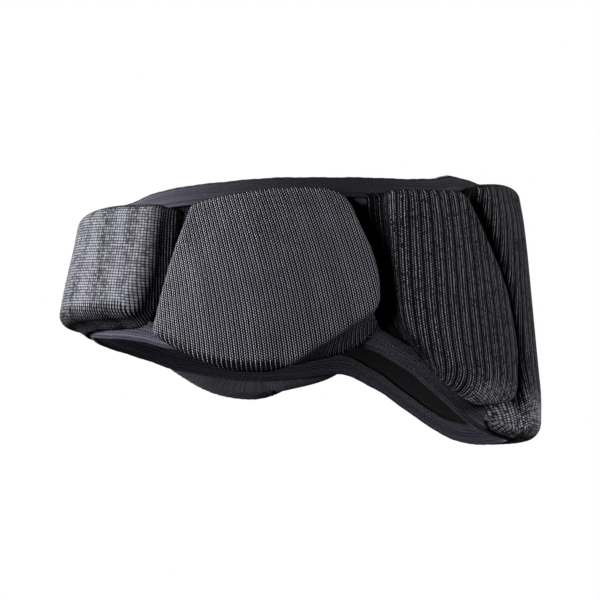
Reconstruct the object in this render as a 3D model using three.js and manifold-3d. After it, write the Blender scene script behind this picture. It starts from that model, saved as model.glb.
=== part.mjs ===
// Soft-shell head guard: an open-topped band of knit cloth with a smooth lining, tape folded
// over its top edge and its hem, and foam pads standing out of it all round.
// Millimetres, +Z up. The wearer faces -Y, and +X is the wearer's left.
// The origin is the middle of the head opening at brow height.

import * as THREE from "three";
import Module from "manifold-3d";

// Head opening: an egg-shaped plan at brow height, narrowing upwards by the lean of each side
const OPENING = { halfLength: 95, halfWidth: 76, egg: 0.06 };
const LEAN = { front: 0.15, side: 0.1, back: 0.085 };

// Layers of the wall, from the head outwards
const GAP = 0.3;
const LINING_WALL = 1.2;
const BAND_WALL = 2;
const TAPE_WALL = 1.2;
const TAPE_REACH = 8;
const LINING_FACE = LINING_WALL;
const BAND_BACK = LINING_FACE + GAP;
const BAND_FACE = BAND_BACK + BAND_WALL;
const TAPE_FACE = BAND_FACE + GAP + TAPE_WALL;
const TAPE_BACK = -GAP - TAPE_WALL;

// Fineness of the facets
const RING_STEPS = 84;
const CORNER_STEPS = 3;
const EDGE_STEP = 9;
const EDGE_ARC_STEPS = 3;
const FACE_SHARES = [0.75, 0.5, 0.25];

// Places on the guard are given by the distance along the head opening from the middle of the
// front, positive to the wearer's left, and by the height z
class OpeningCurve extends THREE.Curve {
  getPoint(t, target = new THREE.Vector3()) {
    const angle = 2 * Math.PI * t;
    const width = OPENING.halfWidth * (1 - OPENING.egg * Math.cos(angle));
    return target.set(width * Math.sin(angle), -OPENING.halfLength * Math.cos(angle), 0);
  }
}
const opening = new OpeningCurve();
opening.arcLengthDivisions = 1440;
const PERIMETER = opening.getLength();
const BACK = PERIMETER / 2;

// Edges of the finished guard: the fold of the tape along the top and along the hem
const TOP_EDGE = [
  { along: 0, z: 63.5 },
  { along: 35, z: 63.6 },
  { along: 60, z: 68.2 },
  { along: 120, z: 70 },
  { along: 175, z: 70.8 },
  { along: 212, z: 74.4 },
  { along: BACK, z: 74.5 },
];
const HEM_EDGE = [
  { along: 0, z: 5 },
  { along: 30, z: 2.5 },
  { along: 55, z: -0.8 },
  { along: 78, z: -5.8 },
  { along: 115, z: -8.8 },
  { along: 140, z: -7.6 },
  { along: 157, z: -5.5 },
  { along: 178, z: -14.5 },
  { along: 207, z: -32 },
  { along: 220, z: -40 },
  { along: 238, z: -43.4 },
  { along: BACK, z: -43.5 },
];

// Pads: how far the outer face stands off the head, the crown in its middle, the radius of its
// edge and of the edge that faces down, how far its foot is tucked in and how far it spreads where
// it faces down, the middle that the face is drawn towards, and the corners of the outline, each
// rounded off over the length cut on both sides of it. A pad that lies across the middle of the
// head gives the half on one side
const FRONT_PAD = {
  face: 17.6, crown: 0.8, edge: 5, lowEdge: 6, tuck: 2, spread: 3, middle: { along: 0, z: 36 },
  half: [
    { along: 30, z: 8, cut: 10 },
    { along: 60.5, z: 6, cut: 9 },
    { along: 71, z: 58.5, cut: 8 },
    { along: 40, z: 63, cut: 12 },
  ],
};
const SIDE_PAD = {
  face: 17.6, crown: 0.8, edge: 3, lowEdge: 3, tuck: 3, spread: -3, middle: { along: 120, z: 24 },
  corners: [
    { along: 100, z: -18, cut: 14 },
    { along: 125, z: -19, cut: 10 },
    { along: 162.5, z: -1, cut: 12 },
    { along: 164.8, z: 28, cut: 16 },
    { along: 150, z: 63, cut: 9 },
    { along: 128, z: 64.5, cut: 12 },
    { along: 87.5, z: 62, cut: 9 },
    { along: 75.5, z: 25, cut: 18 },
    { along: 71.5, z: -0.5, cut: 4 },
  ],
};
const REAR_PAD = {
  face: 16.6, crown: 0.8, edge: 4, lowEdge: 5, tuck: 1.5, spread: 0, middle: { along: 203, z: 12 },
  corners: [
    { along: 169, z: 0, cut: 9 },
    { along: 187, z: -14.5, cut: 12 },
    { along: 206, z: -32, cut: 7 },
    { along: 231, z: -27.5, cut: 8 },
    { along: 235.5, z: -4, cut: 10 },
    { along: 232, z: 22, cut: 12 },
    { along: 207, z: 66.5, cut: 6 },
    { along: 169, z: 64.5, cut: 5 },
  ],
};
const BACK_PAD = {
  face: 17.6, crown: 0.8, edge: 4, lowEdge: 9, tuck: 1.5, spread: 0, middle: { along: BACK, z: 0 },
  half: [
    { along: BACK + 18, z: -44, cut: 8 },
    { along: BACK + 47, z: -43.5, cut: 12 },
    { along: BACK + 35.5, z: -28, cut: 6 },
    { along: BACK + 30, z: -8, cut: 8 },
    { along: BACK + 33, z: 16, cut: 14 },
    { along: BACK + 58, z: 70, cut: 6 },
    { along: BACK + 30, z: 74.5, cut: 14 },
  ],
};

// Cloth finishes
const KNIT = { color: 0x3c3c40, roughness: 0.92, metalness: 0 };
const TAPE = { color: 0x2b2b36, roughness: 0.7, metalness: 0 };
const LINING = { color: 0x0f1013, roughness: 0.6, metalness: 0 };

// Point of the wall at a place along the opening, a height and a distance out from the head
function wallPoint(along, z, offset) {
  const t = opening.getUtoTmapping(THREE.MathUtils.euclideanModulo(along / PERIMETER, 1));
  const angle = 2 * Math.PI * t;
  const cos = Math.cos(angle);
  const sin = Math.sin(angle);
  const slopeX = OPENING.halfWidth * (cos - OPENING.egg * (cos * cos - sin * sin));
  const outward = new THREE.Vector3(OPENING.halfLength * sin, -slopeX, 0).normalize();
  const frontLean = (LEAN.front - LEAN.side) * Math.max(cos, 0) ** 2;
  const backLean = (LEAN.back - LEAN.side) * Math.max(-cos, 0) ** 2;
  const lean = LEAN.side + frontLean + backLean;
  const point = opening.getPoint(t).addScaledVector(outward, offset - lean * z);
  return point.setZ(z);
}

// Smooth curve through an edge table that never swings past its rows, the same on both sides
function edgeHeight(table, along) {
  const distance = Math.abs(THREE.MathUtils.euclideanModulo(along + BACK, PERIMETER) - BACK);
  const last = table.length - 1;
  const next = table.findIndex((row, i) => i === last || (i > 0 && distance <= row.along));
  const step = (i) => (table[i + 1].z - table[i].z) / (table[i + 1].along - table[i].along);
  const slope = (i) => {
    if (i === 0 || i === last || step(i - 1) * step(i) <= 0) {
      return 0;
    }
    return (2 * step(i - 1) * step(i)) / (step(i - 1) + step(i));
  };
  const [from, to] = [table[next - 1], table[next]];
  const span = to.along - from.along;
  const t = (distance - from.along) / span;
  const rise = to.z - from.z;
  const bend = span * slope(next - 1);
  const settle = span * slope(next);
  return from.z + t * (bend + t * (3 * rise - 2 * bend - settle + t * (bend + settle - 2 * rise)));
}
const topEdge = (along) => edgeHeight(TOP_EDGE, along);
const hemEdge = (along) => edgeHeight(HEM_EDGE, along);

// Closed surface from rows of points that each close on themselves: every row joins the next,
// and the last row joins the first or both end rows are closed over their middle
function surfaceGeometry(rows, closeRows) {
  const count = rows[0].length;
  const indices = [];
  const rowPairs = closeRows ? rows.length : rows.length - 1;
  for (let i = 0; i < rowPairs; i += 1) {
    const low = i * count;
    const high = ((i + 1) % rows.length) * count;
    for (let j = 0; j < count; j += 1) {
      const k = (j + 1) % count;
      indices.push(low + j, low + k, high + k, low + j, high + k, high + j);
    }
  }
  const points = rows.flat();
  if (!closeRows) {
    for (const [row, flip] of [[0, true], [rows.length - 1, false]]) {
      const middle = points.push(rows[row].middle) - 1;
      for (let j = 0; j < count; j += 1) {
        const [a, b] = [row * count + j, row * count + ((j + 1) % count)];
        indices.push(...(flip ? [b, a, middle] : [a, b, middle]));
      }
    }
  }
  const geometry = new THREE.BufferGeometry().setFromPoints(points);
  geometry.setIndex(indices);
  return geometry;
}

// Rows of points right round the head, one for each corner of a section. A corner is a function
// of the place along the opening that gives its height and offset
function ringRows(section) {
  return section.map((corner) =>
    Array.from({ length: RING_STEPS }, (_, i) => {
      const along = (i / RING_STEPS) * PERIMETER;
      const { z, offset } = corner(along);
      return wallPoint(along, z, offset);
    }),
  );
}

// Plain wall of cloth that stops inside the tapes
function wallRing(back, face) {
  const inside = TAPE_WALL + GAP;
  const top = (offset) => (along) => ({ z: topEdge(along) - inside, offset });
  const hem = (offset) => (along) => ({ z: hemEdge(along) + inside, offset });
  return surfaceGeometry(ringRows([hem(face), top(face), top(back), hem(back)]), true);
}

// Tape folded over an edge of the wall, with a leg on each face; up is the way its legs run
function tapeRing(edge, up) {
  const round = TAPE_WALL / 2;
  const at = (rise, offset) => (along) => ({ z: edge(along) + up * rise, offset });
  const section = [
    at(TAPE_REACH, TAPE_FACE - TAPE_WALL),
    at(TAPE_WALL, TAPE_FACE - TAPE_WALL),
    at(TAPE_WALL, TAPE_BACK + TAPE_WALL),
    at(TAPE_REACH, TAPE_BACK + TAPE_WALL),
    at(TAPE_REACH, TAPE_BACK),
    at(round, TAPE_BACK),
    at(0, TAPE_BACK + round),
    at(0, TAPE_FACE - round),
    at(round, TAPE_FACE),
    at(TAPE_REACH, TAPE_FACE),
  ];
  return surfaceGeometry(ringRows(up > 0 ? section : section.reverse()), true);
}

// Outline of a pad in (along, z): corners rounded by a curve, long sides cut into short steps.
// Each place has the way out of the pad there, and its share of facing down
function padOutline(corners) {
  const places = corners.map((corner) => new THREE.Vector2(corner.along, corner.z));
  const rounded = corners.flatMap((corner, i) => {
    const place = places[i];
    const towards = (other) => other.clone().sub(place).setLength(corner.cut).add(place);
    const before = towards(places.at(i - 1));
    const after = towards(places[(i + 1) % places.length]);
    return new THREE.QuadraticBezierCurve(before, place, after).getPoints(CORNER_STEPS);
  });
  const stepped = rounded.flatMap((place, i) => {
    const next = rounded[(i + 1) % rounded.length];
    const steps = Math.max(1, Math.round(place.distanceTo(next) / EDGE_STEP));
    return Array.from({ length: steps }, (_, k) => place.clone().lerp(next, k / steps));
  });
  return stepped.map((place, i) => {
    const run = stepped[(i + 1) % stepped.length].clone().sub(stepped.at(i - 1)).normalize();
    return { place, out: new THREE.Vector2(run.y, -run.x), down: Math.max(run.x, 0) ** 2 };
  });
}

// Pad as a stack of loops: foot, side, rounded edge, then the face drawn to its crown. The foot
// starts inside the wall, which is cut away afterwards
function padGeometry({ face, crown, edge, lowEdge, tuck, spread, middle }, corners) {
  const outline = padOutline(corners);
  const radius = (down) => edge + (lowEdge - edge) * down;
  const drawnIn = (insetAt) =>
    outline.map(({ place, out, down }) => place.clone().addScaledVector(out, -insetAt(down)));
  const loop = (places, offsetAt) =>
    places.map((place, i) => wallPoint(place.x, place.y, offsetAt(outline[i].down)));
  const foot = drawnIn((down) => tuck - (tuck + spread) * down);
  const rows = [loop(foot, () => 0), loop(foot, () => TAPE_FACE + 2 * GAP)];
  for (let i = 0; i <= EDGE_ARC_STEPS; i += 1) {
    const turn = (i / EDGE_ARC_STEPS) * (Math.PI / 2);
    const places = drawnIn((down) => radius(down) * (1 - Math.cos(turn)));
    rows.push(loop(places, (down) => face - radius(down) * (1 - Math.sin(turn))));
  }
  const centre = new THREE.Vector2(middle.along, middle.z);
  const rim = drawnIn(radius);
  for (const share of FACE_SHARES) {
    const drawn = rim.map((place) => centre.clone().lerp(place, share));
    rows.push(loop(drawn, () => face + crown * (1 - share ** 2)));
  }
  rows[0].middle = wallPoint(middle.along, middle.z, 0);
  rows.at(-1).middle = wallPoint(middle.along, middle.z, face + crown);
  return surfaceGeometry(rows, false);
}

// Space that the wall and its tapes take up, filled in, with the gap that a pad keeps to them
function wallSpace() {
  const beyond = 25;
  const seat = BAND_FACE + GAP;
  const overTape = TAPE_FACE + GAP;
  const end = TAPE_REACH + GAP;
  const at = (edge, rise, offset) => (along) => ({ z: edge(along) + rise, offset });
  const rows = ringRows([
    at(hemEdge, -beyond, overTape),
    at(hemEdge, end, overTape),
    at(hemEdge, end, seat),
    at(topEdge, -end, seat),
    at(topEdge, -end, overTape),
    at(topEdge, beyond, overTape),
  ]);
  rows[0].middle = new THREE.Vector3(0, 0, hemEdge(0) - beyond);
  rows.at(-1).middle = new THREE.Vector3(0, 0, topEdge(0) + beyond);
  return surfaceGeometry(rows, false);
}

const wasm = await Module();
wasm.setup();

function toSolid(geometry) {
  const vertProperties = new Float32Array(geometry.getAttribute("position").array);
  const triVerts = new Uint32Array(geometry.getIndex().array);
  return new wasm.Manifold(new wasm.Mesh({ numProp: 3, vertProperties, triVerts }));
}

function toGeometry(solid) {
  const mesh = solid.getMesh();
  const geometry = new THREE.BufferGeometry();
  geometry.setAttribute("position", new THREE.BufferAttribute(mesh.vertProperties, 3));
  geometry.setIndex(new THREE.BufferAttribute(mesh.triVerts, 1));
  return geometry;
}

const guard = new THREE.Group();

function addPiece(name, geometry, finish) {
  geometry.computeVertexNormals();
  const piece = new THREE.Mesh(geometry, new THREE.MeshStandardMaterial(finish));
  piece.name = name;
  guard.add(piece);
}

// Corners of the same pad on the other side of the head, in an order that turns the same way
const mirrored = (corners, middle) =>
  corners.map((corner) => ({ ...corner, along: 2 * middle - corner.along })).reverse();
const bothHalves = ({ half, middle }) => [...half, ...mirrored(half, middle.along)];

addPiece("band", wallRing(BAND_BACK, BAND_FACE), KNIT);
addPiece("lining", wallRing(0, LINING_FACE), LINING);
addPiece("top_binding", tapeRing(topEdge, -1), TAPE);
addPiece("hem_binding", tapeRing(hemEdge, 1), TAPE);

const wall = toSolid(wallSpace());
function addPad(name, pad, corners) {
  addPiece(name, toGeometry(toSolid(padGeometry(pad, corners)).subtract(wall)), KNIT);
}
addPad("front_pad", FRONT_PAD, bothHalves(FRONT_PAD));
addPad("back_pad", BACK_PAD, bothHalves(BACK_PAD));
for (const [name, pad] of [["side_pad", SIDE_PAD], ["rear_pad", REAR_PAD]]) {
  const right = { ...pad, middle: { along: -pad.middle.along, z: pad.middle.z } };
  addPad(`${name}_left`, pad, pad.corners);
  addPad(`${name}_right`, right, mirrored(pad.corners, 0));
}

export default guard;
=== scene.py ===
# Soft-shell head guard: knit covers stuffed with foam on a cloth band, lined and bound with tape.
# Metres, +Z up. The wearer faces -Y, and +X is the wearer's left.

from typing import NamedTuple

import bpy
import numpy as np
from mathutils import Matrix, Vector


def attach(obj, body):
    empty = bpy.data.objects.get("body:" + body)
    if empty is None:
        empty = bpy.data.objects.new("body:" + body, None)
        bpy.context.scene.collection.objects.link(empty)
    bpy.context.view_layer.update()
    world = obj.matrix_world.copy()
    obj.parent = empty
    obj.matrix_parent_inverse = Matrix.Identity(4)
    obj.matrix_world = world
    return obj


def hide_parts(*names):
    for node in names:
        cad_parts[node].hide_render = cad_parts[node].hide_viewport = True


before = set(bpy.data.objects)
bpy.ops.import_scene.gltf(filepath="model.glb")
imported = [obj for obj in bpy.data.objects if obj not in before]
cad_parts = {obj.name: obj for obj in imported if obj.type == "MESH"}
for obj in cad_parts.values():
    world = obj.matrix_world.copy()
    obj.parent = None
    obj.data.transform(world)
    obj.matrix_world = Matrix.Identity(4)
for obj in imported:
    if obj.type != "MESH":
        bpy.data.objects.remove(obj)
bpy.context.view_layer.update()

MM = 0.001
MIDDLE = 0.5
FULL_TURN = 2 * np.pi
QUARTER_TURN = np.pi / 2

# Head opening: an egg-shaped plan at brow height, narrowing upwards by the lean of each side
HALF_LENGTH = 95 * MM
HALF_WIDTH = 76 * MM
EGG = 0.06
LEAN_FRONT = 0.15
LEAN_SIDE = 0.1
LEAN_BACK = 0.085
PLAN_POINTS = 2881

# Layers of the wall, as distances out from the head
LINING_FACE = 1.2 * MM
BAND_FACE = 3.5 * MM
BAND_WALL = 2 * MM
TAPE_WALL = 0.8 * MM
TAPE_FACE = 5 * MM
TAPE_BACK = -1.5 * MM
TAPE_REACH = 8 * MM
SEAT_GAP = 0.2 * MM

# Knit: one wale is a column of stitches
WALE = 1.83 * MM
STITCH = 1.13 * MM
COLUMNS_PER_WALE = 4
RIB_DEPTH = 0.22 * MM

# Edges of the guard, as (place along the opening from the middle of the front, height)
TOP_EDGE = MM * np.array([
    (0, 63.5), (35, 63.6), (60, 67), (120, 69.6), (170, 70.3), (197, 72), (212, 74.8), (269.5, 74.5),
])
HEM_EDGE = MM * np.array([
    (0, 5), (30, 2.5), (55, -0.8), (78, -5.8), (115, -8.8), (140, -7.6), (157, -5.3), (178, -14.2),
    (190, -22.6), (207, -34.4), (220, -40.8), (238, -43.4), (269.5, -43.5),
])


def plan_point(angle):
    width = HALF_WIDTH * (1 - EGG * np.cos(angle))
    return width * np.sin(angle), -HALF_LENGTH * np.cos(angle)


PLAN_ANGLES = np.linspace(-np.pi, np.pi, PLAN_POINTS)
PLAN_STEPS = np.hypot(*np.diff(plan_point(PLAN_ANGLES), axis=1))
PERIMETER = PLAN_STEPS.sum()
BACK = PERIMETER / 2
PLAN_PLACES = np.concatenate([[0], np.cumsum(PLAN_STEPS)]) - BACK


def nearest_turn(along):
    """The same place, counted from the front, between the two ways round to the back."""
    return (along + BACK) % PERIMETER - BACK


def on_head(along, height, stand_off):
    """Points of the guard at places along the opening, heights and distances out from the head."""
    angle = np.interp(nearest_turn(along), PLAN_PLACES, PLAN_ANGLES)
    cos, sin = np.cos(angle), np.sin(angle)
    out_x = HALF_LENGTH * sin
    out_y = -HALF_WIDTH * (cos - EGG * (cos**2 - sin**2))
    size = np.hypot(out_x, out_y)
    front = (LEAN_FRONT - LEAN_SIDE) * np.maximum(cos, 0) ** 2
    back = (LEAN_BACK - LEAN_SIDE) * np.maximum(-cos, 0) ** 2
    reach = (stand_off - (LEAN_SIDE + front + back) * height) / size
    x, y = plan_point(angle)
    return np.stack([x + out_x * reach, y + out_y * reach, height + 0 * x], axis=-1)


def edge_height(table, along):
    """Smooth curve through an edge table that never swings past its rows."""
    distance = np.abs(nearest_turn(along))
    places, heights = table.T
    steps = np.diff(heights) / np.diff(places)
    before, after = steps[:-1], steps[1:]
    slopes = np.zeros(len(places))
    same_way = before * after > 0
    slopes[1:-1][same_way] = (2 * before * after)[same_way] / (before + after)[same_way]
    i = np.clip(np.searchsorted(places, distance), 1, len(places) - 1)
    span = places[i] - places[i - 1]
    t = np.clip((distance - places[i - 1]) / span, 0, 1)
    rise = heights[i] - heights[i - 1]
    bend, settle = span * slopes[i - 1], span * slopes[i]
    return heights[i - 1] + t * (
        bend + t * (3 * rise - 2 * bend - settle + t * (bend + settle - 2 * rise))
    )


def smooth_step(low, high, value):
    t = np.clip((value - low) / (high - low), 0, 1)
    return t * t * (3 - 2 * t)


def uneven(value, *waves):
    """Sum of a few waves, each (length, size, start), for folds and edges that aren't regular."""
    return sum(size * np.sin(FULL_TURN * (value / length + start)) for length, size, start in waves)


# Meshes as arrays

def points_of(piece):
    co = np.empty(len(piece.data.vertices) * 3, np.float32)
    piece.data.vertices.foreach_get("co", co)
    return co.reshape(-1, 3).astype(float)


def move_points(piece, points):
    piece.data.vertices.foreach_set("co", points.astype(np.float32).ravel())
    piece.data.update()


def corner_points(mesh):
    """Index of the vertex at each corner of each face."""
    points = np.empty(len(mesh.loops), np.int32)
    mesh.loops.foreach_get("vertex_index", points)
    return points


def lay_cloth_map(piece, cloth):
    """Names each vertex's place on the cloth as the piece's own UV map."""
    layer = piece.data.uv_layers.active
    layer.name = "cloth"
    layer.data.foreach_set("uv", cloth[corner_points(piece.data)].astype(np.float32).ravel())


def rim_points(mesh):
    """Which vertices lie on an open edge."""
    edge_of_corner = np.empty(len(mesh.loops), np.int32)
    mesh.loops.foreach_get("edge_index", edge_of_corner)
    ends = np.empty(len(mesh.edges) * 2, np.int32)
    mesh.edges.foreach_get("vertices", ends)
    open_edges = np.bincount(edge_of_corner, minlength=len(mesh.edges)) == 1
    on_rim = np.zeros(len(mesh.vertices), bool)
    on_rim[ends.reshape(-1, 2)[open_edges]] = True
    return on_rim


def new_grid(name, columns, rows):
    bpy.ops.object.select_all(action="DESELECT")
    bpy.ops.mesh.primitive_grid_add(x_subdivisions=columns, y_subdivisions=rows, size=1)
    grid = bpy.context.object
    grid.name = name
    return grid


def select_only(piece):
    bpy.ops.object.select_all(action="DESELECT")
    bpy.context.view_layer.objects.active = piece
    piece.select_set(True)


def edit_rim():
    """Opens the active piece for editing, with its open edges selected."""
    bpy.ops.object.mode_set(mode="EDIT")
    bpy.ops.mesh.select_mode(type="EDGE")
    bpy.ops.mesh.select_all(action="DESELECT")
    bpy.ops.mesh.select_non_manifold(use_wire=False, use_multi_face=False, use_non_contiguous=False)


# How a pad's cover is cut, swollen in the simulation and closed behind the foam
CORNER_POINTS = 10
ON_OUTLINE = 0.1 * MM
SPARE_CLOTH = 20 * MM
SIM_STEP = 4 * MM
SIM_FRAMES = 20
SIM_CLOTH = {
    "quality": 6,
    "mass": 0.001,
    "tension_stiffness": 6,
    "compression_stiffness": 6,
    "shear_stiffness": 3,
    "bending_stiffness": 0.2,
    "vertex_group_mass": "foot",
    "use_pressure": True,
    "uniform_pressure_force": 4,
}
SWELL_LIMIT = 1.5 * MM
SWELL_SMOOTHING = 4

# Rings behind the foam, each as shares of the last one's size and stand-off
BACK_RINGS = ((0.9, 0.93), (0.66, 1), (0.5, 1))

# How the knit lies on a pad: rows bend over this run, wales fan out below the brow and sweep aside lower
ROW_BEND = 20 * MM
FAN_RUN = 8 * MM
SWEEP_TOP = -14 * MM

# Form of the foam, and of the walls that reach from its edge to their foot
CROWN = 0.8 * MM
CROWN_RUN = 18 * MM
FULL_BELOW = 12 * MM
FULL_ABOVE = 50 * MM
FLARE_LOW = 25 * MM
FLARE_HIGH = 62 * MM
FOOT_CURVE = 1.5
TAPE_FADE = 2 * MM
SKIRT_TOP = -20 * MM
SKIRT_BOTTOM = -31 * MM
SKIRT_RISE = 6 * MM
SKIRT_LEAST = 0.2 * MM
FLAP_INNER = 224 * MM
FLAP_END = 214 * MM
CORNER_START = 118 * MM
CORNER_FULL = 153 * MM
CORNER_BEHIND = (0.3, 0.55)
CORNER_BELOW = (0.2, 0.5)

# How far the cloth is gathered, where painted shade darkens it at the walls and under the tape, and the
# puckers that it makes
PUCKER_LENGTH = 3.7 * MM
PUCKER_DEPTH = 0.15 * MM
PUCKER_FADE = 9 * MM
PUCKER_DRIFT = ((31 * MM, 1.1, 0.2), (11.7 * MM, 0.9, 0.6))
FLARE_LIGHT = 0.3
CORNER_LIGHT = 0.65
FOLDS_LOW = -16 * MM
FOLDS_HIGH = -6 * MM
FOOT_SHADE_FROM = 0.6
TOP_GATHER = 4 * MM
TOP_SHADE = 0.6
CLOSING_TOP = -14 * MM
CLOSING_BOTTOM = -32 * MM


class Wall(NamedTuple):
    """A pad's side next to points of its cloth."""

    low: np.ndarray  # share of facing down
    flared: np.ndarray  # share of a side that flares into a groove
    at_nape: np.ndarray  # share of hanging at the nape
    at_corner: np.ndarray  # share of the lower rear corner, where the wall slopes out
    radius: np.ndarray  # radius of the edge
    edge_end: np.ndarray  # cloth from the outline to the end of the edge's curve
    reach: np.ndarray  # cloth from the outline to the foot


class Pad:
    """A foam pad in its knit cover, drawn flat: place along the opening, height and stand-off.

    Sizes are in mm and angles in degrees. A corner is its place, its height and how much of each side its
    curve takes. The edges are radii of the face's rim: plain, at the lower side, and soft where a side
    flares into a groove. A wall's foot lies in by the tuck, out by the spread below, by the skirt at the
    nape and by the corner spread at the lower rear corner, and aside by the flare, low and high. The flared
    sides are shares for the front and the back one. Pleats and corner folds gather the cloth, and closing
    draws its stitches together. The wales' bend, fan and sweep are per metre.
    """

    def __init__(
        self, corners, face, edge, low_edge, tuck, spread, pleats, wale,
        soft_edge=0, fuller=0, rib=1, flare=(0, 0), flared_sides=(0, 0), skirt=0, corner_spread=0,
        bare_under=False, corner_folds=0, closing=0,
        wale_lean=0, wale_bend=0, row_drop=0, fan_from=0, fan=0, sweep=0,
    ):
        self.outline = self.rounded(MM * np.array(corners, float))
        self.middle = (self.outline.min(0) + self.outline.max(0)) / 2
        self.face = face * MM
        self.edge = edge * MM
        self.low_edge = low_edge * MM
        self.soft_edge = soft_edge * MM
        self.fuller = fuller * MM
        self.rib = rib * RIB_DEPTH
        self.tuck = tuck * MM
        self.spread = spread * MM
        self.flare = MM * np.array(flare)
        self.flared_sides = flared_sides
        self.skirt = skirt * MM
        self.corner_spread = corner_spread * MM
        self.bare_under = bare_under
        self.pleats = pleats
        self.corner_folds = corner_folds
        self.closing = closing
        self.wale = wale * MM
        self.wale_lean = np.radians(wale_lean)
        self.wale_bend = wale_bend
        self.row_drop = row_drop
        self.fan_from = fan_from * MM
        self.fan = fan
        self.sweep = sweep

    @staticmethod
    def rounded(corners):
        places, cuts = corners[:, :2], corners[:, 2:]
        to_last = np.roll(places, 1, axis=0) - places
        to_next = np.roll(places, -1, axis=0) - places
        start = places + cuts * to_last / np.linalg.norm(to_last, axis=1, keepdims=True)
        end = places + cuts * to_next / np.linalg.norm(to_next, axis=1, keepdims=True)
        t = np.linspace(0, 1, CORNER_POINTS)[None, :, None]
        curve = (1 - t) ** 2 * start[:, None] + 2 * t * (1 - t) * places[:, None] + t**2 * end[:, None]
        return curve.reshape(-1, 2)

    def from_outline(self, places):
        """Distance out of the outline, the nearest point on it, the way out and the place round it."""
        run = np.roll(self.outline, -1, axis=0) - self.outline
        length = np.linalg.norm(run, axis=1)
        ahead = run / length[:, None]
        gap = places[:, None] - self.outline
        along = np.clip((gap * ahead).sum(-1), 0, length)
        gap -= along[..., None] * ahead
        distance = np.linalg.norm(gap, axis=-1)
        best = distance.argmin(1)
        row = np.arange(len(places))
        gap, distance, along, ahead = gap[row, best], distance[row, best], along[row, best], ahead[best]
        inside = ahead[:, 0] * gap[:, 1] > ahead[:, 1] * gap[:, 0]
        distance = np.where(inside, -distance, distance)
        square = np.stack([ahead[:, 1], -ahead[:, 0]], axis=-1)
        near = np.abs(distance) < ON_OUTLINE
        out = np.where(near[:, None], square, gap / np.where(near, 1, distance)[:, None])
        round_place = np.concatenate([[0], np.cumsum(length)])[best] + along
        return distance, places - gap, out, round_place

    def wall_beside(self, edge_point, out):
        """The pad's side at points of the outline, with the way out of it there."""
        low = np.maximum(-out[:, 1], 0) ** 2
        flared = out[:, 0] ** 2 * np.where(out[:, 0] < 0, *self.flared_sides)
        at_nape = smooth_step(SKIRT_TOP, SKIRT_BOTTOM, edge_point[:, 1])
        at_corner = smooth_step(*CORNER_BEHIND, out[:, 0]) * smooth_step(*CORNER_BELOW, low)
        at_corner = at_corner * np.sign(self.corner_spread)
        radius = self.edge + (self.low_edge - self.edge) * low + (self.soft_edge - self.edge) * flared
        edge_end = radius * (QUARTER_TURN - 1)
        slope = np.hypot(self.face - radius - BAND_FACE, flared * self.flare.max())
        return Wall(low, flared, at_nape, at_corner, radius, edge_end, edge_end + slope)

    def on_plane(self, cloth):
        """Where points of the knit cloth lie before it is drawn over the foam."""
        cos, sin = np.cos(self.wale_lean), np.sin(self.wale_lean)
        plane = self.middle + cloth @ np.array([[cos, sin], [-sin, cos]])
        plane[:, 0] -= self.wale_bend * (plane[:, 1] - self.middle[1]) ** 2
        plane[:, 1] -= self.row_drop * (np.hypot(plane[:, 0] - self.middle[0], ROW_BEND) - ROW_BEND)
        drop = FAN_RUN * np.log1p(np.exp(-plane[:, 1] / FAN_RUN))
        plane[:, 0] = self.fan_from + (plane[:, 0] - self.fan_from) * (1 - self.fan * drop)
        plane[:, 0] -= self.sweep * np.maximum(SWEEP_TOP - plane[:, 1], 0) ** 2
        return plane

    def cut_cover(self, name, column, row):
        """Grid of cloth over the pad and its sides, with the rest cut away."""
        half = (self.outline.max(0) - self.outline.min(0)) / 2
        half = half + self.face + np.abs(np.sin(self.wale_lean)) * half[::-1] + SPARE_CLOTH
        step = np.array([column, row])
        counts = np.ceil(half / step).astype(int)
        cover = new_grid(name, *(2 * counts))
        cloth = points_of(cover)
        cloth[:, :2] *= 2 * counts * step
        move_points(cover, cloth)
        distance, edge_point, out, _ = self.from_outline(self.on_plane(cloth[:, :2]))
        too_far = distance > self.wall_beside(edge_point, out).reach
        outside = too_far[corner_points(cover.data).reshape(-1, 4)].any(1)
        bpy.ops.object.mode_set(mode="EDIT")
        bpy.ops.mesh.select_mode(type="FACE")
        bpy.ops.mesh.select_all(action="DESELECT")
        bpy.ops.object.mode_set(mode="OBJECT")
        cover.data.polygons.foreach_set("select", outside)
        bpy.ops.object.mode_set(mode="EDIT")
        bpy.ops.mesh.delete(type="FACE")
        bpy.ops.object.mode_set(mode="OBJECT")
        return cover, points_of(cover)[:, :2]

    def foot_below(self, edge_point, out, wall):
        """How far the wall's foot lies out of the outline, flares aside and is lifted, and its stand-off."""
        flare_low, flare_high = self.flare
        flare = flare_low + (flare_high - flare_low) * smooth_step(FLARE_LOW, FLARE_HIGH, edge_point[:, 1])
        flare = flare * wall.flared * np.sign(out[:, 0])
        corner_spread = self.corner_spread * smooth_step(CORNER_START, CORNER_FULL, edge_point[:, 0])
        foot_out = self.spread * wall.low - self.tuck * (1 - wall.low - wall.flared)
        foot_out = foot_out + corner_spread * wall.at_corner
        foot_out = foot_out + self.skirt * wall.at_nape * (1 - wall.low**2 - wall.flared)
        foot = edge_point + out * foot_out[:, None]
        foot[:, 0] += flare
        hem = edge_height(HEM_EDGE, foot[:, 0])
        top = edge_height(TOP_EDGE, foot[:, 0])
        at_flap_end = smooth_step(FLAP_INNER, FLAP_END, np.abs(nearest_turn(foot[:, 0])))
        rise = SKIRT_RISE * at_flap_end + SKIRT_LEAST
        lift = np.maximum(hem + rise - foot[:, 1], 0)
        lift = lift * wall.at_nape * np.sign(self.skirt)
        to_edges = np.minimum(foot[:, 1] - hem, top - foot[:, 1])
        on_tape = 1 - smooth_step(TAPE_REACH, TAPE_REACH + TAPE_FADE, to_edges)
        seat = BAND_FACE + SEAT_GAP + on_tape * (TAPE_FACE - BAND_FACE)
        return foot_out, flare, lift, seat

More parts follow.
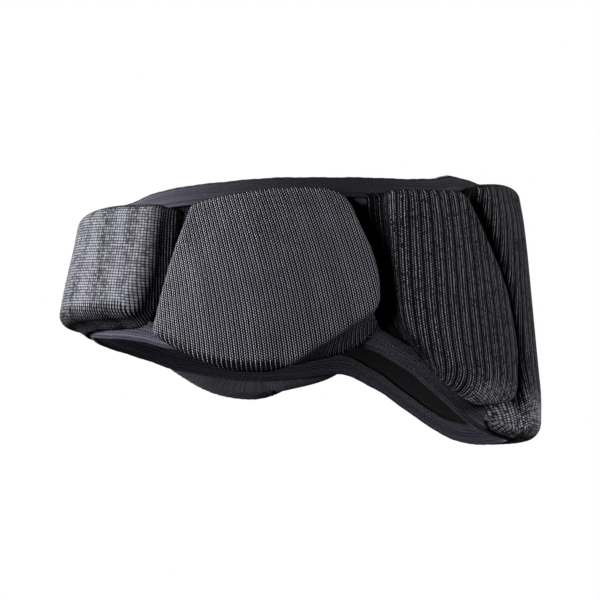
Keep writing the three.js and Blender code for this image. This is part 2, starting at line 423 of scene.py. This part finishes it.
    def gathers_and_shade(self, plane, distance, down, edge_point, out, wall):
        """How far the cloth is gathered, with painted shade added: 0 on the face, about 1 on a wall, where
        the darker gathered knit also stands in for the shade of the groove, more at a wall's foot as a
        painted contact shadow and along the top as a painted shadow under the tape, less where the knit
        closes up.
        """
        low, flared, at_nape, at_corner, radius, edge_end, _ = wall
        on_wall = smooth_step(-radius / 2, edge_end, distance) * (1 - FLARE_LIGHT * flared)
        on_low_wall = self.pleats * smooth_step(-PUCKER_FADE, -radius / 2, distance)
        on_low_wall = on_low_wall * (1 - CORNER_LIGHT * at_corner)
        folded = low * flared * smooth_step(FOLDS_LOW, FOLDS_HIGH, edge_point[:, 1])
        on_low_wall = on_low_wall + self.corner_folds * folded * smooth_step(-PUCKER_FADE, 0, distance)
        gathered_and_shaded = on_wall + (on_low_wall - on_wall) * np.maximum(low, at_nape)
        hangs = self.spread >= 0
        # Painted shade: the wall's foot is darkened like a contact shadow where it meets the band or tape.
        at_foot = smooth_step(FOOT_SHADE_FROM, 1, down)
        gathered_and_shaded = gathered_and_shaded + at_foot * (1 - low * hangs) * (1 - at_nape * hangs) * (1 - at_corner)
        # Painted shadow under the tape, with some gathered pleats: the top of the face is darkened where it
        # tucks under the top binding.
        at_top = smooth_step(-TOP_GATHER, 0, distance) * np.maximum(out[:, 1], 0) ** 2
        gathered_and_shaded = gathered_and_shaded + TOP_SHADE * at_top
        return gathered_and_shaded - self.closing * smooth_step(CLOSING_TOP, CLOSING_BOTTOM, plane[:, 1])

    def stuffed(self, cloth, at_foot, relief=0, puckered=True):
        """The cloth drawn over the face, round the edge and down the sides to the band or tape.

        Also how far it is gathered there, with painted shade added, and where the foam is bare cloth
        underneath.
        """
        plane = self.on_plane(cloth)
        distance, edge_point, out, place = self.from_outline(plane)
        wall = self.wall_beside(edge_point, out)
        distance = np.where(at_foot, wall.reach, distance)
        turn = np.clip(1 + distance / wall.radius, 0, QUARTER_TURN)
        down = np.clip((distance - wall.edge_end) / (wall.reach - wall.edge_end), 0, 1)
        foot_out, flare, lift, seat = self.foot_below(edge_point, out, wall)
        gathered_and_shaded = self.gathers_and_shade(plane, distance, down, edge_point, out, wall)
        under = wall.low * smooth_step(0, wall.edge_end, distance) * self.bare_under * (1 - wall.at_corner)
        relief = relief * (1 - under) + self.fuller * smooth_step(FULL_ABOVE, FULL_BELOW, plane[:, 1])
        relief = relief + CROWN * (1 - np.exp(np.minimum(distance + wall.radius, 0) / CROWN_RUN))
        if puckered:
            phase = FULL_TURN * place / PUCKER_LENGTH + uneven(place, *PUCKER_DRIFT)
            relief = relief - PUCKER_DEPTH * wall.low * gathered_and_shaded * (MIDDLE - MIDDLE * np.cos(phase))
        relief = relief * (1 - down**2)
        to_foot = down**FOOT_CURVE
        aside = np.where(turn > 0, wall.radius * (np.sin(turn) - 1), distance) + foot_out * to_foot
        aside = aside + relief * np.sin(turn)
        stand_off = self.face - wall.radius * (1 - np.cos(turn)) - down * (self.face - wall.radius - seat)
        stand_off = stand_off + relief * np.cos(turn)
        along = edge_point[:, 0] + out[:, 0] * aside + flare * to_foot
        height = edge_point[:, 1] + out[:, 1] * aside + lift * to_foot
        return np.column_stack([along, height, stand_off]), gathered_and_shaded, under

    def swelling(self):
        """How far the cover swells under the foam's push: a coarse cover held at its foot, simulated."""
        cover, cloth = self.cut_cover("swelling_cover", SIM_STEP, SIM_STEP)
        at_foot = rim_points(cover.data)
        slack = self.stuffed(cloth, at_foot, puckered=False)[0]
        move_points(cover, slack)
        edit_rim()
        bpy.ops.mesh.edge_face_add()
        bpy.ops.object.mode_set(mode="OBJECT")
        cover.vertex_groups.new(name="foot").add(np.flatnonzero(at_foot).tolist(), 1, "REPLACE")
        cloth_modifier = cover.modifiers.new("swelling", "CLOTH")
        for key, value in SIM_CLOTH.items():
            setattr(cloth_modifier.settings, key, value)
        cloth_modifier.settings.effector_weights.gravity = 0
        for step in range(1, SIM_FRAMES + 1):
            bpy.context.scene.frame_set(step)
        bpy.ops.object.modifier_apply(modifier=cloth_modifier.name)
        swell = np.linalg.norm(points_of(cover) - slack, axis=1)
        bpy.context.scene.frame_set(1)
        bpy.data.objects.remove(cover)
        index = np.round(cloth / SIM_STEP).astype(int)
        low = index.min(0)
        field = np.zeros(index.max(0) - low + 2)
        field[tuple((index - low).T)] = np.minimum(swell, SWELL_LIMIT)
        for _ in range(SWELL_SMOOTHING):
            near = sum(np.roll(field, shift, axis) for axis in (0, 1) for shift in (1, -1))
            field = (field + near / 4) / 2
        return field, low

    def swollen(self, cloth):
        """The simulated swelling at points of the fine cloth."""
        field, low = self.swelling()
        spot = np.clip(cloth / SIM_STEP - low, 0, np.array(field.shape) - 2)
        i, j = np.floor(spot).astype(int).T
        s, t = (spot - np.floor(spot)).T
        left = (1 - t) * field[i, j] + t * field[i, j + 1]
        right = (1 - t) * field[i + 1, j] + t * field[i + 1, j + 1]
        return (1 - s) * left + s * right

    def cover(self, name, *materials):
        """The finished cover: swollen, ribbed and puckered, closed at the back and bent round the head."""
        cover, cloth = self.cut_cover(name, self.wale / COLUMNS_PER_WALE, STITCH)
        relief = -self.rib * (MIDDLE - MIDDLE * np.cos(FULL_TURN * cloth[:, 0] / self.wale)) ** 2
        relief = relief + self.swollen(cloth)
        select_only(cover)
        lay_cloth_map(cover, cloth / np.array([self.wale, STITCH]))
        points, gathered_and_shaded, under = self.stuffed(cloth, rim_points(cover.data), relief)
        move_points(cover, points)
        plain_faces = under[corner_points(cover.data).reshape(-1, 4)].min(1) > MIDDLE
        gathers_and_shade = cover.data.attributes.new("gathers_and_shade", "FLOAT", "POINT")
        gathers_and_shade.data.foreach_set("value", gathered_and_shaded.astype(np.float32))
        edit_rim()
        for ring, rise in BACK_RINGS:
            bpy.ops.mesh.extrude_region_move()
            bpy.ops.transform.resize(value=(ring, ring, rise), center_override=(*self.middle, 0))
        bpy.ops.mesh.merge(type="CENTER")
        bpy.ops.object.mode_set(mode="OBJECT")
        plain = np.ones(len(cover.data.polygons), np.int32)
        plain[:len(plain_faces)] = plain_faces
        for material in materials:
            cover.data.materials.append(material)
        cover.data.polygons.foreach_set("material_index", plain)
        move_points(cover, on_head(*points_of(cover).T))
        bpy.ops.object.shade_smooth()
        return cover


def halves(half, middle):
    """Corners of a pad across the middle of the head, from those on one side of it."""
    return half + [(2 * middle - along, height, cut) for along, height, cut in reversed(half)]


NAPE = BACK / MM
FRONT_PAD = Pad(
    halves([(30, 11, 10), (60.5, 9.5, 4), (68, 26, 8), (71, 59.3, 4), (40, 62, 12)], 0),
    face=17.6, edge=5, low_edge=5, soft_edge=6, fuller=2, rib=0.15,
    tuck=2, spread=6, flare=(5, 5), flared_sides=(1, 1), pleats=0.85,
    wale=2.95, row_drop=0.14,
)
SIDE_PAD = Pad(
    [
        (100, -18, 14), (124, -19, 9), (163.2, 9.5, 5), (164.2, 28, 13), (150, 63, 9),
        (128, 64.2, 12), (99, 60.8, 6), (86, 57.8, 3), (75.5, 25, 18), (71.5, -0.5, 4),
    ],
    face=17.6, edge=3, low_edge=3,
    tuck=3, spread=-3, corner_spread=12, bare_under=True, pleats=1,
    wale=1.83, wale_lean=12, wale_bend=1.6,
)
REAR_PAD = Pad(
    [
        (174, 3, 10), (188, -14.5, 12), (206, -32, 7), (231, -27.5, 8),
        (235.5, -4, 10), (232, 22, 12), (207, 66.5, 6), (169, 64.5, 5),
    ],
    face=16.6, edge=4, low_edge=4, soft_edge=9,
    tuck=1.5, spread=-2, skirt=3, flare=(4, 13), flared_sides=(1, 0),
    pleats=0.2, corner_folds=2.6, closing=0.55,
    wale=2.4, fan_from=234, fan=5, sweep=26,
)
BACK_PAD = Pad(
    halves(
        [
            (NAPE + 18, -44, 8), (NAPE + 38, -44, 5), (NAPE + 36, -31, 3), (NAPE + 30, -8, 8),
            (NAPE + 33, 16, 14), (NAPE + 58, 70, 6), (NAPE + 30, 74.5, 14),
        ],
        NAPE,
    ),
    face=17.6, edge=4, low_edge=9,
    tuck=1.5, spread=0, skirt=17, pleats=0.1, closing=0.45,
    wale=2.4,
)


def mirrored(piece, name):
    """The same piece on the wearer's other side."""
    twin = piece.copy()
    twin.data = piece.data.copy()
    twin.name = name
    bpy.context.collection.objects.link(twin)
    select_only(twin)
    move_points(twin, points_of(twin) * (-1, 1, 1))
    bpy.ops.object.mode_set(mode="EDIT")
    bpy.ops.mesh.select_all(action="SELECT")
    bpy.ops.mesh.flip_normals()
    bpy.ops.object.mode_set(mode="OBJECT")
    return twin


# Cloth that runs right round the head

MERGE_WITHIN = 0.01 * MM


def ring_of_cloth(name, material, columns, rows, section, cloth_unit, wall):
    """A strip laid round the head by its section, joined at the back and given its thickness."""
    strip = new_grid(name, columns, rows)
    strip.data.materials.append(material)
    grid = points_of(strip)
    along = grid[:, 0] * PERIMETER
    share = grid[:, 1] + MIDDLE
    height, stand_off, over = section(along, share)
    lay_cloth_map(strip, np.stack([along, over], axis=-1) / cloth_unit)
    move_points(strip, on_head(along, height, stand_off))
    bpy.ops.object.mode_set(mode="EDIT")
    bpy.ops.mesh.select_all(action="SELECT")
    bpy.ops.mesh.remove_doubles(threshold=MERGE_WITHIN)
    bpy.ops.object.mode_set(mode="OBJECT")
    thicken = strip.modifiers.new("thicken", "SOLIDIFY")
    thicken.thickness = wall
    thicken.offset = -1
    bpy.ops.object.modifier_apply(modifier=thicken.name)
    bpy.ops.object.shade_smooth()
    return strip


GROOVES = MM * np.array([75, 166, 222])
GROOVE_HALF = 9 * MM
WALL_END = 5 * MM
BAND_GRID = (540, 40)
BAND_FOLDS = ((3.1 * MM, 0.35 * MM, 0), (4.7 * MM, 0.25 * MM, 0.3))
BAND_SUNK = 0.6 * MM
LINING_GRID = (360, 40)
LINING_CREASES = (7.3 * MM, 0.5 * MM, 0.1)
LINING_SUNK = 0.5 * MM
CREASE_LEAN = 0.25


def in_grooves(along):
    distance = np.abs(np.abs(nearest_turn(along))[:, None] - GROOVES).min(1)
    return 1 - smooth_step(0, GROOVE_HALF, distance)


def wall_height(along, share):
    """Height of the cloth wall, whose edges end inside the tapes."""
    low = edge_height(HEM_EDGE, along) + WALL_END
    high = edge_height(TOP_EDGE, along) - WALL_END
    return low + share * (high - low)


def band_section(along, share):
    height = wall_height(along, share)
    folds = uneven(along, *BAND_FOLDS) - BAND_SUNK
    return height, BAND_FACE + in_grooves(along) * folds, height


def lining_section(along, share):
    height = wall_height(along, share)
    creases = uneven(along + CREASE_LEAN * (share - MIDDLE) * GROOVE_HALF, LINING_CREASES)
    soft = np.sin(np.pi * share)
    return height, LINING_FACE + soft * in_grooves(along) * (creases - LINING_SUNK), height


# Tape, with its ribs counted on one leg
TAPE_COLUMNS = 480
TAPE_RIBS = 6
TAPE_ROWS_PER_RIB = 6
TAPE_RIB_DEPTH = 0.05 * MM
TAPE_SEAM = 1.5 * MM
TAPE_SEAM_DEPTH = 0.25 * MM
TAPE_SEAM_WIDTH = 0.5 * MM
TAPE_WAVES = (
    (PERIMETER / 12, 0.12 * MM, 0.1),
    (PERIMETER / 31, 0.08 * MM, 0.7),
    (PERIMETER / 97, 0.05 * MM, 0),
)
FOLD_THICK = 3.2 * MM
FOLD_RUN = 5 * MM
FOLD_ROUND = 1.2 * MM
TAPE_WIDTH = 2 * TAPE_REACH + FOLD_RUN
TAPE_ROWS = round(TAPE_WIDTH / TAPE_REACH * TAPE_RIBS * TAPE_ROWS_PER_RIB)


def tape_section(edge, up):
    """Section of the tape over an edge: from the foot of one leg round the fold to the other's."""

    def section(along, share):
        run = share * TAPE_WIDTH
        if up < 0:
            run = TAPE_WIDTH - run
        on_outer = run < TAPE_REACH
        on_inner = run > TAPE_REACH + FOLD_RUN
        turn = np.clip((run - TAPE_REACH) / FOLD_RUN, 0, 1) * np.pi
        leg = np.where(on_outer, TAPE_REACH - run, np.where(on_inner, run - TAPE_REACH - FOLD_RUN, 0))
        thick = FOLD_THICK + (TAPE_FACE - TAPE_BACK - FOLD_THICK) * smooth_step(0, WALL_END, leg)
        seam = np.minimum(run, TAPE_WIDTH - run) - TAPE_SEAM
        out = thick / 2 - TAPE_SEAM_DEPTH * np.exp(-((seam / TAPE_SEAM_WIDTH) ** 2))
        ribs = TAPE_RIB_DEPTH * np.cos(FULL_TURN * run / TAPE_REACH * TAPE_RIBS)
        stand_off = (TAPE_FACE + TAPE_BACK) / 2 + (out + ribs) * np.cos(turn)
        rise = leg + FOLD_ROUND * (1 - np.sin(turn)) + uneven(along, *TAPE_WAVES) - ribs * np.sin(turn)
        return edge_height(edge, along) + up * rise, stand_off, run

    return section


# Shader maths: numbers that change over a surface

# Sockets of the mix node that hold colours
MIX_LOW = 6
MIX_HIGH = 7
MIX_COLOUR = 2


class Signal:
    """A socket of a finish's node tree that can be worked with like a number."""

    def __init__(self, finish, socket):
        self.finish = finish
        self.socket = socket

    def maths(self, operation, *values):
        inputs = dict(enumerate(values))
        node = self.finish.node("ShaderNodeMath", {"operation": operation}, inputs)
        return Signal(self.finish, node.outputs[0])

    def __add__(self, other):
        return self.maths("ADD", self, other)

    def __sub__(self, other):
        return self.maths("SUBTRACT", self, other)

    def __rsub__(self, other):
        return self.maths("SUBTRACT", other, self)

    def __mul__(self, other):
        return self.maths("MULTIPLY", self, other)

    def __truediv__(self, other):
        return self.maths("DIVIDE", self, other)

    __radd__ = __add__
    __rmul__ = __mul__

    def __abs__(self):
        return self.maths("ABSOLUTE", self)

    def floor(self):
        return self.maths("FLOOR", self)

    def sine(self):
        return self.maths("SINE", self)

    def cosine(self):
        return self.maths("COSINE", self)

    def beside(self, other):
        """Length of the diagonal, with the other number square to this one."""
        square = self * self + other * other
        return square.maths("SQRT", square)

    def step(self, low, high):
        """0 below low, 1 above high, and smooth between."""
        settings = {"interpolation_type": "SMOOTHSTEP"}
        inputs = {"Value": self, "From Min": low, "From Max": high}
        return Signal(self.finish, self.finish.node("ShaderNodeMapRange", settings, inputs).outputs[0])


class Finish:
    """A procedural material, with the constants of its shader set once."""

    def __init__(self, name, **constants):
        self.material = bpy.data.materials.new(name)
        self.material.use_nodes = True
        self.tree = self.material.node_tree
        self.shader = self.tree.nodes["Principled BSDF"]
        for socket, value in constants.items():
            self.shader.inputs[socket.replace("_", " ")].default_value = value

    def node(self, kind, settings=None, inputs=None):
        node = self.tree.nodes.new(kind)
        for key, value in (settings or {}).items():
            setattr(node, key, value)
        for key, value in (inputs or {}).items():
            if isinstance(value, Signal):
                self.tree.links.new(value.socket, node.inputs[key])
            else:
                node.inputs[key].default_value = value
        return node

    def out(self, node, socket=0):
        return Signal(self, node.outputs[socket])

    def cloth_place(self):
        """Place on the cloth, from the piece's own map."""
        place = self.out(self.node("ShaderNodeUVMap", {"uv_map": "cloth"}))
        parts = self.node("ShaderNodeSeparateXYZ", None, {0: place})
        return self.out(parts, 0), self.out(parts, 1)

    def vector(self, x, y):
        return self.out(self.node("ShaderNodeCombineXYZ", None, {0: x, 1: y}))

    def noise(self, place, scale, detail=2):
        """Soft noise round 0."""
        settings = {"noise_dimensions": "2D"}
        inputs = {"Vector": place, "Scale": scale, "Detail": detail}
        return self.out(self.node("ShaderNodeTexNoise", settings, inputs)) - MIDDLE

    def chance(self, x, y):
        """A number from 0 to 1 that differs for each whole x and y."""
        settings = {"noise_dimensions": "2D"}
        return self.out(self.node("ShaderNodeTexWhiteNoise", settings, {"Vector": self.vector(x, y)}))

    def colours(self, share, low, high):
        """Colour between two others, each one red, green and blue or a signal."""
        low, high = (end if isinstance(end, Signal) else (*end, 1) for end in (low, high))
        inputs = {0: share, MIX_LOW: low, MIX_HIGH: high}
        return self.out(self.node("ShaderNodeMix", {"data_type": "RGBA"}, inputs), MIX_COLOUR)

    def feed(self, socket, signal):
        self.tree.links.new(signal.socket, self.shader.inputs[socket])

    def bump(self, height, depth, strength):
        inputs = {"Height": height, "Distance": depth, "Strength": strength}
        self.feed("Normal", self.out(self.node("ShaderNodeBump", None, inputs)))


# Knit finish, with places counted in wales and stitches
KNIT_GROUND = (0.004, 0.004, 0.005)
KNIT_BLUE = 1.16
KNIT_RELIEF = 0.18 * MM
KNIT_BUMP = 0.8
YARN_TONE = 0.75
STREAK_STRETCH = 0.04
STREAK_SCALE = 0.3
PATCH_SCALE = 0.05
PATCH_SHARE = 0.3
WANDER = 0.15
WANDER_ACROSS = 0.33
WANDER_UP = 0.21
GAP_LUCK = 0.15
GAP_EDGE = (0.5, 1)
STITCH_EDGE = (0.6, 1.1)
CLOSED_STRAND = 0.6
KNIT_CLOSES = (-0.6, 0)
THIN_RATE = 1.1
THIN_EDGE = (1, 1.35)
DROP_EDGE = (0.3, 0.8)


def knit_finish(
    name, light, strand_width=0.85, stitch_length=1.15, depth=1, stagger=0.5, gap_width=0.25,
    gap_depth=0.6, pairing=0, fleck=0.4, streak=0.5, stitch_size=1, dropped=1,
):
    """Charcoal warp knit: each wale is two strands of light stitches, with a dark gap to the next wale.

    Where the cloth is gathered, and where painted shade falls at a wall's foot, under the tape and in the
    grooves, the strands thin out and every second one drops out of sight.
    """
    knit = Finish(name, Roughness=0.9, Specular_IOR_Level=0.1)
    across, up = knit.cloth_place()
    up = up / stitch_size
    place = knit.vector(across, up)
    gathers_and_shade = knit.out(knit.node("ShaderNodeAttribute", {"attribute_name": "gathers_and_shade"}), "Fac")
    streaks = knit.noise(knit.vector(across, up * STREAK_STRETCH), STREAK_SCALE)
    patches = knit.noise(place, PATCH_SCALE, detail=3)
    across = across + MIDDLE + knit.noise(place, WANDER_ACROSS) * WANDER
    up = up + knit.noise(place, WANDER_UP) * WANDER
    wale = across.floor()
    from_middle = abs(across - wale - MIDDLE) * 2
    strand = (across * 2).floor()
    from_strand = abs(across * 2 - strand - MIDDLE) * 2
    second = strand - wale * 2
    up = up + second * stagger
    stitch = up.floor()
    from_stitch = abs(up - stitch - MIDDLE) * 2
    luck = knit.chance(strand, stitch)
    pair = across / 2
    from_pair = abs(pair - pair.floor() - MIDDLE) * 2
    width = (from_pair - MIDDLE) * pairing + (luck - MIDDLE) * GAP_LUCK + gap_width
    slack = gathers_and_shade.step(*KNIT_CLOSES)
    gap = (1 - ((1 - from_middle) / width).step(*GAP_EDGE)) * slack * gap_depth
    strand_width = strand_width + CLOSED_STRAND - slack * CLOSED_STRAND
    from_yarn = (from_strand / strand_width).beside(from_stitch / stitch_length)
    hollow = from_yarn.step(*STITCH_EDGE) * depth
    thinned = (from_strand + gathers_and_shade * THIN_RATE).step(*THIN_EDGE)
    hidden = second * gathers_and_shade.step(*DROP_EDGE) * dropped
    yarn = (1 - gap) * (1 - hollow) * (1 - thinned) * (1 - hidden)
    evenness = YARN_TONE - fleck * MIDDLE
    tone = yarn * (evenness + luck * fleck + patches * PATCH_SHARE + streaks * streak)
    knit.feed("Base Color", knit.colours(tone, KNIT_GROUND, (light, light, KNIT_BLUE * light)))
    knit.bump(yarn, KNIT_RELIEF, KNIT_BUMP)
    return knit.material


# Tape finish, with places in millimetres
TAPE_GROUND = (0.008, 0.008, 0.01)
TAPE_GREEN = 0.98
TAPE_BLUE = 1.35
PAINTED_SHEEN_RED = 0.97
PAINTED_SHEEN_GREEN = 0.94
TAPE_PICK = 0.9
TAPE_SPECK_SCALE = 1.5
TAPE_SPECKS = 1.6
TAPE_TONE = 0.43
PAINTED_SHEEN_SPAN = (65, 105)
TAPE_RELIEF = 0.1 * MM
TAPE_BUMP = 0.8
WEAVE_MIDDLE = 0.35
PICK_DEPTH = 0.3
PICK_LEAN = 0.5


def tape_finish(name, light, painted_sheen_light, painted_sheen_blue, sheen, ribbing):
    """Dark ribbed binding tape with a fine weave, with a painted bluish sheen round the front."""
    tape = Finish(
        name, Roughness=0.62, Sheen_Weight=sheen, Sheen_Roughness=0.35,
        Sheen_Tint=(0.75, 0.75, 1, 1), Specular_IOR_Level=0.25,
    )
    along, over = tape.cloth_place()
    rib = over * (FULL_TURN * TAPE_RIBS * MM / TAPE_REACH)
    pick = along * (FULL_TURN / TAPE_PICK)
    picks = (pick + rib * PICK_LEAN).sine() * PICK_DEPTH + (1 - PICK_DEPTH)
    weave = (rib.cosine() * MIDDLE + MIDDLE) * picks
    specks = tape.noise(tape.vector(along, over), TAPE_SPECK_SCALE)
    tone = ((weave - WEAVE_MIDDLE) * ribbing + specks * TAPE_SPECKS + TAPE_TONE).step(0, 1)
    # Painted sheen: round the front the tape is coloured brighter and bluer, as if it caught the light
    # there.
    painted_sheen_share = 1 - abs(along).step(*PAINTED_SHEEN_SPAN)
    grey = (light, TAPE_GREEN * light, TAPE_BLUE * light)
    blue = (PAINTED_SHEEN_RED * painted_sheen_light, PAINTED_SHEEN_GREEN * painted_sheen_light, painted_sheen_blue * painted_sheen_light)
    tape.feed("Base Color", tape.colours(tone, TAPE_GROUND, tape.colours(painted_sheen_share, grey, blue)))
    tape.bump(weave * ribbing + specks * MIDDLE, TAPE_RELIEF, TAPE_BUMP)
    return tape.material


# Lining finish, with places in millimetres
GRAIN_SCALE = 0.9
GRAIN_SHARE = 0.8
GRAIN_RELIEF = 0.08 * MM
GRAIN_BUMP = 0.5
WORN_SCALE = 0.03
WORN_SHARE = 0.6
LINING_BLUE = 1.25
LINING_DARKER = 3
LINING_DARKER_BLUE = 2.5


def lining_finish(name, light):
    """Smooth dark jersey."""
    lining = Finish(name, Roughness=0.7, Sheen_Weight=0.1, Specular_IOR_Level=0.25)
    place = lining.vector(*lining.cloth_place())
    grain = lining.noise(place, GRAIN_SCALE)
    worn = lining.noise(place, WORN_SCALE, detail=3)
    tone = grain * GRAIN_SHARE + worn * WORN_SHARE + MIDDLE
    dark = (light / LINING_DARKER, light / LINING_DARKER, light / LINING_DARKER_BLUE)
    pale = (light, light, LINING_BLUE * light)
    lining.feed("Base Color", lining.colours(tone.step(0, 1), dark, pale))
    lining.bump(grain, GRAIN_RELIEF, GRAIN_BUMP)
    return lining.material


def dress(piece, node):
    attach(piece, "root")
    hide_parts(node)


# Camera, light and floor

def towards(turn, rise):
    """Direction by degrees turned from the wearer's left to the front, and degrees up."""
    turn, rise = np.radians((turn, rise))
    return Vector((np.cos(turn) * np.cos(rise), -np.sin(turn) * np.cos(rise), np.sin(rise)))


TARGET = Vector((0, 2.1, 23.3)) * MM
VIEW_BACK = towards(2.5, -6.5)
VIEW_DISTANCE = 1.0
LENS = 125.4
SENSOR = 36

# Lights, as (name, degrees turned to the front, degrees up, distance, size, power)
STUDIO_LIGHTS = (
    ("key_from_the_front", 100, 22, 1.6, 0.7, 6.5),
    ("soft_from_the_left", 46, 4, 1.8, 0.8, 3.9),
    ("rim_from_behind", -80, 20, 1.7, 0.8, 2.6),
    ("soft_from_the_right", 180, 30, 1.8, 0.8, 3),
)
LIGHT_SPREAD = 70
ROOM_LIGHT = 0.015
FLOOR_SIZE = 14
FLOOR_HEIGHT = -2.2
FLOOR_GREY = 0.86
FLOOR_LIGHT_SIZE = 16
FLOOR_LIGHT_POWER = 900
FLOOR_LIGHT_HEIGHT = -1.2


def add_camera():
    data = bpy.data.cameras.new("camera")
    data.lens = LENS
    data.sensor_width = SENSOR
    camera = bpy.data.objects.new("camera", data)
    camera.location = TARGET + VIEW_BACK * VIEW_DISTANCE
    camera.rotation_mode = "QUATERNION"
    camera.rotation_quaternion = (-VIEW_BACK).to_track_quat("-Z", "Y")
    bpy.context.collection.objects.link(camera)
    bpy.context.scene.camera = camera


def add_light(name, direction, distance, size, power):
    data = bpy.data.lights.new(name, "AREA")
    data.size = size
    data.energy = power
    data.spread = np.radians(LIGHT_SPREAD)
    light = bpy.data.objects.new(name, data)
    light.location = TARGET + direction * distance
    light.rotation_mode = "QUATERNION"
    light.rotation_quaternion = (-direction).to_track_quat("-Z", "Y")
    bpy.context.collection.objects.link(light)


def add_room():
    """A white room to look at that gives only a little light."""
    world = bpy.data.worlds.new("studio")
    world.use_nodes = True
    bpy.context.scene.world = world
    nodes, links = world.node_tree.nodes, world.node_tree.links
    nodes.clear()
    soft = nodes.new("ShaderNodeBackground")
    soft.inputs["Strength"].default_value = ROOM_LIGHT
    seen = nodes.new("ShaderNodeBackground")
    seen.inputs["Color"].default_value = (1, 1, 1, 1)
    path = nodes.new("ShaderNodeLightPath")
    mix = nodes.new("ShaderNodeMixShader")
    output = nodes.new("ShaderNodeOutputWorld")
    links.new(path.outputs["Is Camera Ray"], mix.inputs[0])
    links.new(soft.outputs[0], mix.inputs[1])
    links.new(seen.outputs[0], mix.inputs[2])
    links.new(mix.outputs[0], output.inputs[0])
    bpy.context.scene.view_settings.view_transform = "Standard"


def add_floor():
    """A pale floor far below the guard, with its own light."""
    bpy.ops.mesh.primitive_plane_add(size=FLOOR_SIZE, location=(0, 0, FLOOR_HEIGHT))
    floor = bpy.context.object
    floor.name = "floor"
    paint = Finish("pale_floor", Base_Color=(FLOOR_GREY, FLOOR_GREY, FLOOR_GREY, 1), Roughness=0.9)
    floor.data.materials.append(paint.material)
    floor.visible_diffuse = False
    floor.visible_glossy = False
    glow = bpy.data.lights.new("floor_light", "AREA")
    glow.size = FLOOR_LIGHT_SIZE
    glow.energy = FLOOR_LIGHT_POWER
    over_floor = bpy.data.objects.new("floor_light", glow)
    over_floor.location = (0, 0, FLOOR_LIGHT_HEIGHT)
    over_floor.visible_camera = False
    bpy.context.collection.objects.link(over_floor)


add_camera()
for name, turn, rise, distance, size, power in STUDIO_LIGHTS:
    add_light(name, towards(turn, rise), distance, size, power)
add_room()
add_floor()

plain_knit = knit_finish(
    "charcoal_knit", 0.86, strand_width=0.53, stitch_length=0.82, gap_width=0.56, gap_depth=1,
)
stretched_knit = knit_finish(
    "charcoal_knit_stretched", 0.335, strand_width=1.05, stitch_length=0.85, depth=0.85, stagger=0,
    gap_width=0.3, gap_depth=0.3, fleck=0.7, streak=1.8, stitch_size=1.13, dropped=0,
)
open_knit = knit_finish(
    "charcoal_knit_open", 0.6, strand_width=0.58, stitch_length=0.88, gap_width=0.72, gap_depth=1,
    pairing=0.45, fleck=1.2,
)
# Painted shade: a dark copy of the knit for the band, which shows only deep in the grooves between pads.
shaded_knit = knit_finish("charcoal_knit_shaded", 0.045, gap_width=0.5, pairing=0.25)
top_tape = tape_finish(
    "binding_tape_top", light=0.036, painted_sheen_light=0.038, painted_sheen_blue=2.1, sheen=0.08, ribbing=0.35,
)
hem_tape = tape_finish(
    "binding_tape_hem", light=0.106, painted_sheen_light=0.125, painted_sheen_blue=1.4, sheen=0.2, ribbing=0.55,
)
dark_jersey = lining_finish("dark_lining", 0.014)
pad_backing = lining_finish("pad_backing", 0.16)

for node, pad, knit in (("front_pad", FRONT_PAD, stretched_knit), ("back_pad", BACK_PAD, open_knit)):
    cover = pad.cover(f"{node}_cover", knit, pad_backing)
    dress(cover, node)
for node, pad, knit in (("side_pad", SIDE_PAD, plain_knit), ("rear_pad", REAR_PAD, open_knit)):
    cover = pad.cover(f"{node}_left_cover", knit, pad_backing)
    twin = mirrored(cover, f"{node}_right_cover")
    dress(cover, f"{node}_left")
    dress(twin, f"{node}_right")

# The wall's cloth is cut to the two edges, and a tape to the length of its edge
CUT_PLACES = np.linspace(-BACK, BACK, 400)
cut_heights = edge_height(TOP_EDGE, CUT_PLACES) - edge_height(HEM_EDGE, CUT_PLACES)
cut = {
    "flat": (PERIMETER, cut_heights.max()),
    "area": PERIMETER * cut_heights.mean(),
    "held": "stretched",
}
knit_unit = np.array([WALE, STITCH])
band = ring_of_cloth("band_cloth", shaded_knit, *BAND_GRID, band_section, knit_unit, BAND_WALL)
dress(band, "band")
lining = ring_of_cloth("lining_cloth", dark_jersey, *LINING_GRID, lining_section, MM, LINING_FACE)
dress(lining, "lining")
for node, tape, edge, up in (
    ("top_binding", top_tape, TOP_EDGE, -1),
    ("hem_binding", hem_tape, HEM_EDGE, 1),
):
    section = tape_section(edge, up)
    strip = ring_of_cloth(f"{node}_tape", tape, TAPE_COLUMNS, TAPE_ROWS, section, MM, TAPE_WALL)
    dress(strip, node)
    edge_line = on_head(CUT_PLACES, edge_height(edge, CUT_PLACES), BAND_FACE)
